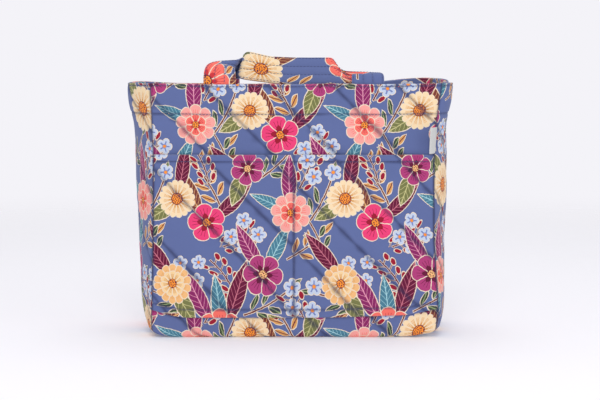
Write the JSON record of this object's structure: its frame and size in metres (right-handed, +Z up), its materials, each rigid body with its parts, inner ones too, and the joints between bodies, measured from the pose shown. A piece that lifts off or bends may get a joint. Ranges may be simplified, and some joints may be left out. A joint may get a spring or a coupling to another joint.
{
  "type": "knitting bag",
  "caption": "Boxy quilted cotton tote for knitting, with a divided front patch pocket, bulging side gussets, a stiff flat base, a snap mouth and two short handles.",
  "frame": {"origin": "middle of the flat underside of the base", "axes": "+X across the front to the viewer's right, +Y from the front pocket to the back, +Z up"},
  "size_m": [0.317, 0.1345, 0.2648],
  "materials": {
    "printed_cotton": "quilted printed cotton",
    "lining_cotton": "plain cotton",
    "wadding": "fibre wadding",
    "stiffener": "matte",
    "snap_metal": "satin",
    "label_tape": "woven tape",
    "thread": "sewing thread"
  },
  "bodies": {
    "bag": {"front_panel": "printed_cotton", "back_panel": "printed_cotton", "left_gusset": "printed_cotton", "right_gusset": "printed_cotton", "base_panel": "printed_cotton", "front_pocket": "printed_cotton", "front_facing": "printed_cotton", "back_facing": "printed_cotton", "left_facing": "printed_cotton", "right_facing": "printed_cotton", "front_handle_ends": "printed_cotton", "back_handle_ends": "printed_cotton", "base_board": "stiffener", "base_lining": "lining_cotton", "front_lining": "lining_cotton", "back_lining": "lining_cotton", "left_lining": "lining_cotton", "right_lining": "lining_cotton", "slip_pocket": "lining_cotton", "snap_stud": "snap_metal", "snap_socket": "snap_metal", "snap_washers": "snap_metal", "rim_stitching": "thread", "facing_stitching": "thread", "pocket_stitching": "thread"},
    "front_handle": {"front_handle_cover": "printed_cotton", "front_handle_core": "wadding"},
    "back_handle": {"back_handle_cover": "printed_cotton", "back_handle_core": "wadding"},
    "label": {"side_label": "label_tape"}
  },
  "joints": [
    {"name": "front_handle_swing", "type": "hinge", "parent": "bag", "child": "front_handle", "pos_m": [0, -0.0444, 0.241], "axis": [1, 0, 0], "range_deg": [-35, 130]},
    {"name": "back_handle_swing", "type": "hinge", "parent": "bag", "child": "back_handle", "pos_m": [0, 0.049, 0.239], "axis": [-1, 0, 0], "range_deg": [-245, 2]},
    {"name": "side_label_flap", "type": "hinge", "parent": "bag", "child": "label", "pos_m": [0.132, -0.05208, 0.183], "axis": [0, 0, 1], "range_deg": [-60, 120]}
  ]
}
